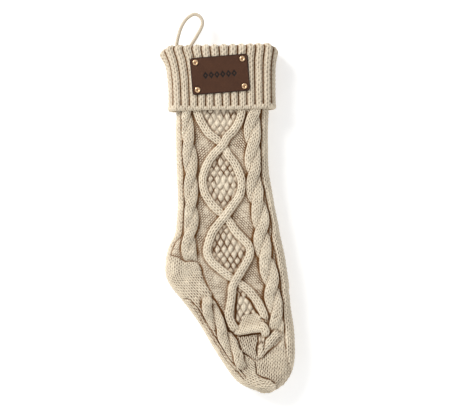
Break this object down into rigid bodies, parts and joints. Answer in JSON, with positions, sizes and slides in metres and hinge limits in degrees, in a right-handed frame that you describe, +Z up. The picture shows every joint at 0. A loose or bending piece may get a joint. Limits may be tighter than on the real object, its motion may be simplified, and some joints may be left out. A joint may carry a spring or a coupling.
{
  "type": "hanging stocking",
  "caption": "Cable-knit hanging stocking with a turned-down ribbed cuff, a knitted hanging loop and a riveted leather patch; it holds small gifts and hangs from a hook.",
  "frame": {"origin": "where a hook bears, at the top of the inside of the hanging loop", "axes": "+Z up along the hanging stocking, -Y out of its front, +X towards the toe"},
  "size_m": [0.2083, 0.0418, 0.5884],
  "materials": {
    "knit": "chunky cable-knit yarn, matt",
    "rib_knit": "ribbed chunky knit, matt",
    "cord": "knitted cord, matt",
    "thread": "matching yarn, matt",
    "leather": "smooth dark brown leather with burnished edges",
    "copper": "polished copper-tone rivet cap",
    "copper_post": "darkened copper-tone rivet post"
  },
  "bodies": {
    "hanger": {"hanging_loop": "cord"},
    "stocking": {"loop_end_left": "cord", "loop_end_right": "cord", "loop_stitches": "thread", "cuff_front": "rib_knit", "cuff_back": "rib_knit", "cuff_lining_front": "knit", "cuff_lining_back": "knit", "leg_front": "knit", "leg_back": "knit", "leg_seam_left": "thread", "leg_seam_right": "thread", "leather_patch": "leather", "rivet_cap_1": "copper", "rivet_cap_2": "copper", "rivet_cap_3": "copper", "rivet_cap_4": "copper", "rivet_post_1": "copper_post", "rivet_post_2": "copper_post", "rivet_post_3": "copper_post", "rivet_post_4": "copper_post"},
    "foot": {"heel_front": "knit", "heel_back": "knit", "foot_front": "knit", "foot_back": "knit", "toe_front": "knit", "toe_back": "knit", "sole_seam": "thread", "instep_seam": "thread", "toe_seam": "thread"}
  },
  "joints": [
    {"name": "loop_fold", "type": "hinge", "parent": "hanger", "child": "stocking", "pos_m": [-0.015, 0, -0.043], "axis": [1, 0, 0], "range_deg": [-80, 80]},
    {"name": "ankle_flex", "type": "hinge", "parent": "stocking", "child": "foot", "pos_m": [0.052, 0, -0.339], "axis": [1, 0, 0], "range_deg": [-30, 30]}
  ]
}
